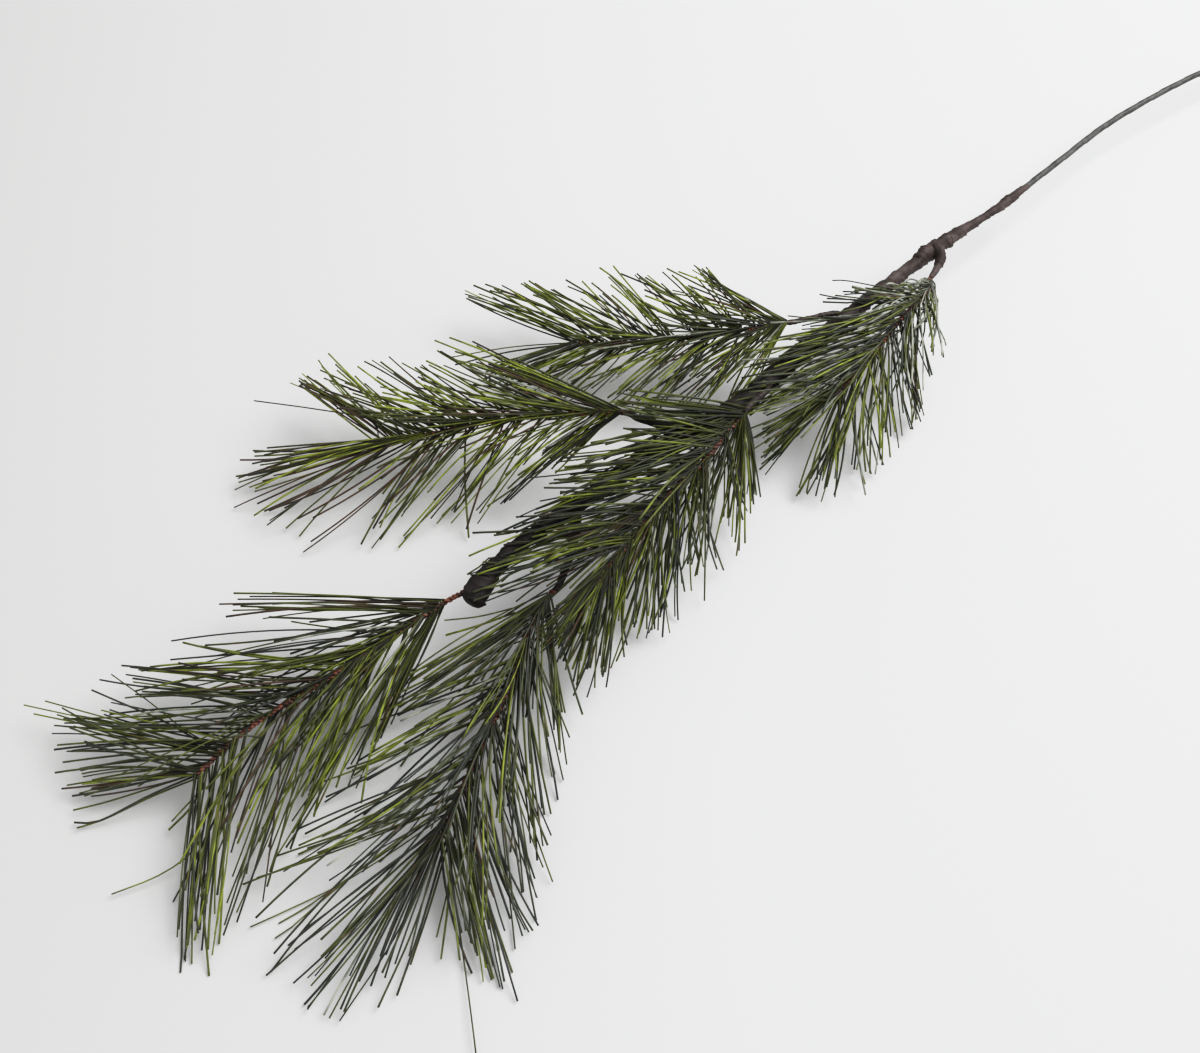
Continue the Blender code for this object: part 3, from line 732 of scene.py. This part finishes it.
def needle_tones(sprig, bunch, bent, dice):
    """Each needle's place on the palette."""
    count = len(bunch)
    bunches = bunch[-1] + 1
    tones = sprig["tone"] + dice.normal(0, BUNCH_TONE_SPREAD, bunches)[bunch]
    tones = np.clip(tones + dice.normal(0, NEEDLE_TONE_SPREAD, count), 0, GREEN_END)
    brown = (dice.random(bunches) < sprig["brown"])[bunch] & (dice.random(count) < BROWN_IN_BUNCH)
    tones = np.where(brown, dice.uniform(*BROWN_TONES, count), tones)
    pale = dice.random(count) < np.maximum(bent * FRIZZ_PALE, sprig["pale"])
    return np.where(pale, dice.uniform(*PALE_TONES, count), tones)


def stray_line(points):
    """The centre line of a single needle that is placed at given points."""
    route = smooth_route(points, FINE_STEP)
    along = distances_along(route)
    return rows_at(route, along, np.linspace(0, along[-1], NEEDLE_STEPS + 1))


def needle_lines(sprig, dice):
    """Centre lines of a sprig's needles, as an array of needles, steps and places, and their tones."""
    bunches = sprig["needles"] // BUNCH
    count = bunches * BUNCH
    bunch = np.arange(count) // BUNCH
    shares = needle_starts(sprig, bunches, dice)[bunch] + dice.normal(0, START_JITTER, count)
    shares = np.clip(shares, 0, 1)
    route = even_route(sprig["wire"], FINE_STEP)
    along = distances_along(route)
    base = rows_at(route, along / along[-1], shares)
    near, far = side_reaches(sprig, shares, base, bunch, dice)
    roll = roll_angles(sprig, bunch, dice)
    reach, side = aimed_reach(sprig, shares, roll, near, far)
    reach = strayed_reach(reach, bunch, sprig["tangle"], dice)
    across = unit(np.cross(reach, UP))
    bow = bows(reach, across, bunch, sprig["tangle"], dice)

    over = dice.random(count) < sprig["cover"]
    start = base + across * (side * np.where(over, OVER_OUT, BESIDE_OUT))[:, None]
    start += UP * np.where(over, OVER_UP, BESIDE_UP + np.sin(roll))[:, None]
    bent = np.clip(FRIZZ_REACH - shares / sprig["frizz"], 0, 1) if sprig["frizz"] else np.zeros(count)
    curled = dice.random(count) < CURLED_SHARE
    loss = np.where(curled, dice.uniform(*CURLED_LOSS, count), dice.uniform(*STRAIGHT_LOSS, count))
    reach *= (1 - bent * loss)[:, None]
    t = np.linspace(0, 1, NEEDLE_STEPS + 1)[None, :, None]
    lines = start[:, None, :] + reach[:, None, :] * t + 4 * t * (1 - t) * bow[:, None, :]
    add_frizz(lines, across, bent, dice)
    lines = keep_off_stem(lines)
    lowest = NEEDLE_FLOOR + dice.uniform(*NEEDLE_FLOOR_RANGE, count)[:, None]
    lines[:, :, 2] = np.maximum(lines[:, :, 2], lowest)

    tones = needle_tones(sprig, bunch, bent, dice)
    thin_from, thin_to, dropped = sprig["thin"]
    sparse = (side < 0) & (shares >= thin_from) & (shares < thin_to) & ~(curled & (bent > 0))
    kept = ~sparse | (dice.random(count) > dropped)
    strays = [stray_line(points) for tone, *points in sprig["strays"]]
    stray_tones = [tone for tone, *points in sprig["strays"]]
    return np.concatenate([lines[kept], strays]), np.concatenate([tones[kept], stray_tones])


def needle_rings(lines, dice):
    """Rings of flat needles along their centre lines, each rolled at random and a little twisted."""
    count, steps = lines.shape[:2]
    forward = unit(np.gradient(lines, axis=1))
    first = unit(np.cross(forward, UP + 0.01))
    second = np.cross(forward, first)
    tilt = dice.uniform(-math.pi, math.pi, count)[:, None]
    tilt = tilt + dice.normal(0, NEEDLE_TWIST, count)[:, None] * np.linspace(0, 1, steps)
    wide = first * np.cos(tilt)[..., None] + second * np.sin(tilt)[..., None]
    thin = np.cross(forward, wide)
    size = dice.uniform(*NEEDLE_SIZES, count)
    angles = FULL_TURN * (np.arange(NEEDLE_SIDES) + 0.5) / NEEDLE_SIDES
    out = wide[:, :, None, :] * (np.cos(angles) * NEEDLE_WIDTH / 2)[:, None]
    out = out + thin[:, :, None, :] * (np.sin(angles) * NEEDLE_THICKNESS / 2)[:, None]
    rings = lines[:, :, None, :] + out * size[:, None, None, None]
    rings[..., 2] = np.maximum(rings[..., 2], LOWEST_PLACE)
    return rings


def needle_uvs(tones, steps):
    """Where each needle's faces are on the palette: along it to the right, and its own strip up."""
    along = np.linspace(*STRIP_LENGTH, steps)
    wall_u = np.stack([along[:-1], along[:-1], along[1:], along[1:]], axis=-1)
    wall_u = np.repeat(wall_u[:, None, :], NEEDLE_SIDES, axis=1)
    low = STRIP_LOW + STRIP_HEIGHT * np.arange(NEEDLE_SIDES) / NEEDLE_SIDES
    high = low + STRIP_HEIGHT / NEEDLE_SIDES
    wall_v = np.repeat(np.stack([low, high, high, low], axis=-1)[None], steps - 1, axis=0)
    wall_uvs = np.stack([wall_u, wall_v], axis=-1).reshape(-1, 4, 2)
    end_uvs = np.array([NEEDLE_END_UV] * len(NEEDLE_END_QUADS))
    strip = (tones * PALETTE_STRIPS).astype(int)
    uvs = []
    for pattern in (wall_uvs, end_uvs):
        copies = np.repeat(pattern[None], len(tones), axis=0)
        copies[..., 1] = (copies[..., 1] + strip[:, None, None]) / PALETTE_STRIPS
        uvs.append(copies.reshape(-1, 2))
    return np.vstack(uvs)


def needle_mesh(name, lines, tones, dice):
    """One mesh of flat needles along their centre lines, each coloured by a strip of the palette."""
    count, steps = lines.shape[:2]
    rings = needle_rings(lines, dice)
    corners = np.arange(steps * NEEDLE_SIDES).reshape(steps, NEEDLE_SIDES)
    starts = (np.arange(count) * steps * NEEDLE_SIDES)[:, None, None]
    patterns = (wall_quads(corners), corners[-1][NEEDLE_END_QUADS])
    faces = np.vstack([(pattern[None] + starts).reshape(-1, 4) for pattern in patterns])
    return mesh_object(name, rings.reshape(-1, 3), faces, needle_uvs(tones, steps))


def twisted_pair(name, sprig, dice):
    """Two wires twisted round each other along a sprig, and which faces are on its shank."""
    route = even_route(sprig_points(sprig), STRAND_STEP)
    count = len(route)
    along = distances_along(route)
    first, second = side_axes(route)
    shank_length = along[np.linalg.norm(route[:, :3] - sprig["wire"][0], axis=1).argmin()]
    coated = np.clip((shank_length - along) / COATING_FADE, 0, 1) * sprig["dark_shank"]
    strands = []
    for phase in (0.0, math.pi):
        angle = FULL_TURN * along / STRAND_PITCH + phase
        angle = angle + STRAND_TURN_WANDER * smooth_noise(count, 12, dice)
        offset = STRAND_OFFSET * (1 + STRAND_OFFSET_WANDER * smooth_noise(count, 9, dice))
        offset = offset * (1 - COATED_CLOSER * coated)
        out = first * np.cos(angle)[:, None] + second * np.sin(angle)[:, None]
        radii = STRAND_RADIUS * (1 + STRAND_RADIUS_WANDER * smooth_noise(count, 5, dice))
        radii = radii * (1 + COATED_THICKER * coated)
        centre = route[:, :3] + offset[:, None] * out
        strands.append(sweep(centre, np.repeat(radii[:, None], STRAND_SIDES, axis=1)))
    places, faces = joined_tubes(strands)
    rows = route[None, ::ROW_STRIDE, :3]
    nearest = np.linalg.norm(places[faces[:, :1]] - rows, axis=2).argmin(1) * ROW_STRIDE
    return mesh_object(name, places, faces), along[nearest] < shank_length


def wound_wall(route, radii, dice, pitch, edge, crease):
    """The radii of crepe tape wound on the route: a spiral edge, and creases that run along the winding."""
    count = len(route)
    along = distances_along(route)
    angles = np.arange(TAPE_SIDES) / TAPE_SIDES
    slack = smooth_noise(count, 24, dice)
    turn = (along / pitch + TAPE_SLACK * slack)[:, None] - angles
    lap = edge * (1 - turn % 1.0) ** 1.5
    wander = smooth_noise(count, 16, dice)[:, None]
    fade = 0.5 + 0.5 * np.sin(FULL_TURN * (along[:, None] / FADE_LENGTH + 2 * angles))
    ridge = 1 - np.abs(np.sin(math.pi * (turn * FOLDS_PER_TURN + FOLD_WANDER * wander)))
    folds = crease * fade * ridge**2
    columns = np.stack([smooth_noise(count, 12, dice) for _ in range(LUMPS_ROUND)], axis=1)
    places = np.arange(LUMPS_ROUND + 1) / LUMPS_ROUND
    lumps = np.stack([np.interp(angles, places, [*row, row[0]]) for row in columns]) * crease
    size = np.minimum(radii / USUAL_TAPE_RADIUS, MOST_TAPE_RELIEF)[:, None]
    return radii[:, None] + (lap - edge * 0.5 + folds + lumps * LUMP_HEIGHT) * size


def wound_tape(name, route, radii, dice, winding, strap=None):
    """A sleeve of wound tape, and a strap across it where one is given."""
    tubes = [sweep(route, wound_wall(route, radii, dice, **winding))]
    if strap is not None:
        band = even_route(strap, STRAP_STEP)
        tubes.append(sweep(band, wound_wall(band, band[:, 3], dice, **STRAP_WINDING)))
    return mesh_object(name, *joined_tubes(tubes))


class Look:
    """A node material with one Principled shader."""

    def __init__(self, name, roughness, specular=0.5):
        self.material = bpy.data.materials.new(name)
        self.material.use_nodes = True
        self.nodes = self.material.node_tree.nodes
        self.links = self.material.node_tree.links
        self.shader = self.nodes["Principled BSDF"]
        self.shader.inputs["Roughness"].default_value = roughness
        self.shader.inputs["Specular IOR Level"].default_value = specular

    def node(self, kind, inputs, **settings):
        """A new node. Each of its inputs is a value or another node's output."""
        made = self.nodes.new(kind)
        for key, value in settings.items():
            setattr(made, key, value)
        for key, value in inputs.items():
            if isinstance(value, bpy.types.NodeSocket):
                self.links.new(value, made.inputs[key])
            else:
                made.inputs[key].default_value = value
        return made

    def feed(self, socket, source):
        self.links.new(source, self.shader.inputs[socket])

    def place(self):
        return self.node("ShaderNodeTexCoord", {}).outputs["Object"]

    def parts(self, vector):
        return self.node("ShaderNodeSeparateXYZ", {0: vector}).outputs

    def noise(self, place, scale, detail, roughness=0.5):
        inputs = {"Vector": place, "Scale": scale, "Detail": detail, "Roughness": roughness}
        return self.node("ShaderNodeTexNoise", inputs).outputs["Fac"]

    def maths(self, operation, *numbers):
        return self.node("ShaderNodeMath", dict(enumerate(numbers)), operation=operation).outputs[0]

    def mix(self, share, first, second, blend="MIX"):
        inputs = {"Factor": share, "A": first, "B": second}
        return self.node("ShaderNodeMix", inputs, data_type="RGBA", blend_type=blend).outputs["Result"]

    def remap(self, source, before, after=(0.0, 1.0)):
        """The source with one range turned to another, and clamped there."""
        return self.node("ShaderNodeMapRange", dict(enumerate((source, *before, *after)))).outputs[0]

    def ramp(self, source, stops):
        """The colour on a ramp of (place, colour) stops, at the source's value."""
        made = self.node("ShaderNodeValToRGB", {0: source})
        elements = made.color_ramp.elements
        while len(elements) < len(stops):
            elements.new(0.5)
        for element, (place, colour) in zip(elements, stops):
            element.position = place
            element.color = (*colour, 1.0)
        return made.outputs["Color"]

    def bump(self, height, strength, distance):
        inputs = {"Height": height, "Strength": strength, "Distance": distance}
        self.feed("Normal", self.node("ShaderNodeBump", inputs).outputs["Normal"])


def needle_material():
    """Plastic needles: each strip of the palette has its own green, from charcoal to bright yellow-green,
    mottled along the needle and darker where it leaves the wire, partly its own tone and partly painted
    shade."""
    look = Look("needle_plastic_look", roughness=0.45, specular=0.32)
    uv = look.parts(look.node("ShaderNodeUVMap", {}, uv_map="OFBake").outputs["UV"])
    strip = look.maths("FLOOR", look.maths("MULTIPLY", uv["Y"], float(PALETTE_STRIPS)))
    green = look.ramp(look.maths("DIVIDE", strip, float(PALETTE_STRIPS)), NEEDLE_COLOURS)
    along = look.maths("MULTIPLY", uv["X"], SPOTS_ALONG)
    across = look.maths("MULTIPLY", strip, SPOTS_APART)
    spot = look.node("ShaderNodeCombineXYZ", {"X": along, "Y": across}).outputs[0]
    mottle = look.noise(spot, scale=1.0, detail=3.0, roughness=0.6)
    patch = look.ramp(mottle, [(0.40, BLACK), (0.60, WHITE)])
    mottled = look.mix(patch, look.mix(0.6, green, NEEDLE_DARK), green)
    shifted = look.node("ShaderNodeVectorMath", {0: spot, 1: RUST_SHIFT}, operation="ADD").outputs[0]
    rust = look.ramp(look.noise(shifted, scale=0.8, detail=1.0), [(0.62, BLACK), (0.72, WHITE)])
    rusted = look.mix(look.maths("MULTIPLY", rust, 0.5), mottled, NEEDLE_RUST)
    # Multiplies in the darker roots: the needles' own tone there and painted shade of the crowded core.
    look.feed("Base Color", look.mix(1.0, rusted, look.ramp(uv["X"], NEEDLE_ROOT_TONE_AND_PAINTED_SHADE), "MULTIPLY"))
    look.feed("Roughness", look.remap(mottle, (0.0, 1.0), (0.34, 0.58)))
    look.bump(mottle, strength=0.2, distance=0.0002)
    return look.material


def wire_material(name, colours):
    """Coated wire, darker in the hollows of its bump and brighter on a few raised spots."""
    look = Look(name, roughness=0.55)
    noise = look.noise(look.place(), scale=420.0, detail=4.0)
    look.feed("Base Color", look.ramp(noise, colours))
    look.bump(noise, strength=0.3, distance=0.0002)
    return look.material


def tape_material():
    """Dark brown waxed crepe, scuffed paler in patches, and darker towards the stem's far end."""
    look = Look("floral_tape_look", roughness=0.62, specular=0.3)
    place = look.place()
    brown = look.ramp(look.noise(place, scale=90.0, detail=5.0, roughness=0.65), TAPE_COLOURS)
    shade = look.remap(look.parts(place)["X"], (-0.03, 0.07), (0.25, 1.0))
    look.feed("Base Color", look.mix(1.0, brown, shade, "MULTIPLY"))
    look.bump(look.noise(place, scale=900.0, detail=3.0), strength=0.35, distance=0.0003)
    return look.material


def wrap_material():
    """The stem's smooth wrap: dull grey-green, mottled finely."""
    look = Look("stem_wrap_look", roughness=0.5)
    noise = look.noise(look.place(), scale=260.0, detail=5.0, roughness=0.6)
    look.feed("Base Color", look.ramp(noise, WRAP_COLOURS))
    look.bump(noise, strength=0.4, distance=0.0003)
    return look.material


def floor_material():
    """Pale paper, a little darker towards the camera's left: painted shade, as falloff of light."""
    look = Look("floor_look", roughness=0.7, specular=0.2)
    place = look.parts(look.place())
    # Painted shade: the paper darkens towards the camera's left.
    rightward = look.maths("MULTIPLY_ADD", place["Y"], -0.65, place["X"])
    look.feed("Base Color", look.ramp(look.remap(rightward, (-0.62, -0.05)), FLOOR_PAPER_AND_PAINTED_SHADE))
    return look.material


def place_piece(piece, material, node):
    """Gives the piece its material, and lets it ride in place of a CAD node."""
    piece.data.materials.append(material)
    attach(piece, "root")
    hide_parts(node)


def swelled(radii, swells):
    """The radii along a tape, thicker by its swells."""
    return radii * np.interp(np.linspace(0, 1, len(radii)), *zip(*swells))


def make_stem_wire():
    dice = np.random.default_rng(WRAP_SEED)
    route = stem_stretch(STEM_ROUTE[0][0], STEM_WIRE_END, WRAP_STEP)
    radii = STEM_WIRE_RADIUS * (1 + WRAP_UNEVEN * smooth_noise(len(route), 7, dice))
    angles = np.arange(WRAP_SIDES) / WRAP_SIDES
    edge = WRAP_EDGE * ((distances_along(route)[:, None] / WRAP_PITCH - angles) % 1.0)
    rings = sweep(route, radii[:, None] + edge - WRAP_SINK)
    wire = mesh_object("wrapped_stem_wire", *joined_tubes([rings]))
    place_piece(wire, wrap_material(), "stem_wire")


def make_stem_tapes(material):
    dice = np.random.default_rng(TAPE_SEED)
    for name, tape in TAPES.items():
        route = stem_stretch(*tape["span"], TAPE_STEP)
        radii = swelled(route[:, 3], tape["swells"])
        strap = KNOT_STRAP if name == "stem_tape_knot" else None
        piece = wound_tape("wound_" + name.removeprefix("stem_"), route, radii, dice, tape["winding"], strap)
        place_piece(piece, material, name)


def make_shank_tape(name, sprig, material, dice):
    route = even_route(sprig_points(sprig), TAPE_STEP)
    rows = np.linalg.norm(route[:, :3] - sprig["wire"][0], axis=1).argmin() - SHANK_BARE_ROWS
    radii = swelled(np.full(rows, SHANK_TAPE_RADIUS), SHANK_TAPE_SWELLS)
    piece = wound_tape(name + "_shank_wrap", route[:rows], radii, dice, SHANK_WINDING)
    place_piece(piece, material, name + "_shank_tape")


def make_sprig(name, sprig, looks):
    dice = np.random.default_rng(sum(map(ord, name)) * SPRIG_SEED_STEP)
    lines, tones = needle_lines(sprig, dice)
    needles = needle_mesh(name + "_single_needles", lines, tones, dice)
    place_piece(needles, looks["needles"], name + "_needles")
    wires, on_shank = twisted_pair(name + "_twisted_pair", sprig, dice)
    place_piece(wires, looks["bare_wire"], name + "_wire")
    wires.data.materials.append(looks["dark_wire"])
    material_numbers = (on_shank & sprig["dark_shank"]).astype(np.int32)
    wires.data.polygons.foreach_set("material_index", material_numbers)
    if sprig["tape"]:
        make_shank_tape(name, sprig, looks["tape"], dice)


def make_spray():
    looks = {
        "needles": needle_material(),
        "bare_wire": wire_material("twisted_wire_look", BARE_WIRE_COLOURS),
        "dark_wire": wire_material("coated_wire_look", COATING_COLOURS),
        "tape": tape_material(),
    }
    make_stem_wire()
    make_stem_tapes(looks["tape"])
    for name, sprig in SPRIGS.items():
        make_sprig(name, {**USUAL, **sprig}, looks)


def aim(thing, place, target):
    """Puts a camera or a lamp in the scene, at its place and facing the target."""
    thing.location = place
    thing.rotation_euler = (Vector(target) - Vector(place)).to_track_quat("-Z", "Y").to_euler()
    bpy.context.scene.collection.objects.link(thing)


def make_camera():
    data = bpy.data.cameras.new("camera")
    data.sensor_width = SENSOR_WIDTH
    data.lens = SENSOR_WIDTH / 2 / math.tan(math.radians(VIEW_ANGLE) / 2)
    data.clip_start = 0.01
    data.clip_end = 50.0
    camera = bpy.data.objects.new("camera", data)
    aim(camera, Vector(EYE) * MM, Vector(TARGET) * MM)
    bpy.context.scene.camera = camera


def make_film_curve():
    view = bpy.context.scene.view_settings
    view.view_transform = "Standard"
    view.use_curve_mapping = True
    curve = view.curve_mapping.curves[3]
    curve.points[1].location = FILM_WHITE
    for place in FILM_CURVE:
        curve.points.new(*place)
    view.curve_mapping.update()


def make_floor():
    far = FLOOR_HALF_SIZE
    mesh = bpy.data.meshes.new("floor")
    mesh.from_pydata([(-far, -far, 0), (far, -far, 0), (far, far, 0), (-far, far, 0)], [], [(0, 1, 2, 3)])
    mesh.materials.append(floor_material())
    floor = bpy.data.objects.new("floor", mesh)
    bpy.context.scene.collection.objects.link(floor)


def make_lights():
    """One large soft lamp, and even white light all round."""
    world = bpy.data.worlds.new("studio")
    world.use_nodes = True
    background = world.node_tree.nodes["Background"]
    background.inputs["Color"].default_value = (1.0, 1.0, 1.0, 1.0)
    background.inputs["Strength"].default_value = WORLD_STRENGTH
    bpy.context.scene.world = world
    data = bpy.data.lights.new("soft_box", "AREA")
    data.shape = "SQUARE"
    data.size = LAMP_SIZE
    data.energy = LAMP_WATTS
    aim(bpy.data.objects.new("soft_box", data), LAMP_PLACE, LAMP_TARGET)


make_camera()
make_film_curve()
make_floor()
make_lights()
make_spray()
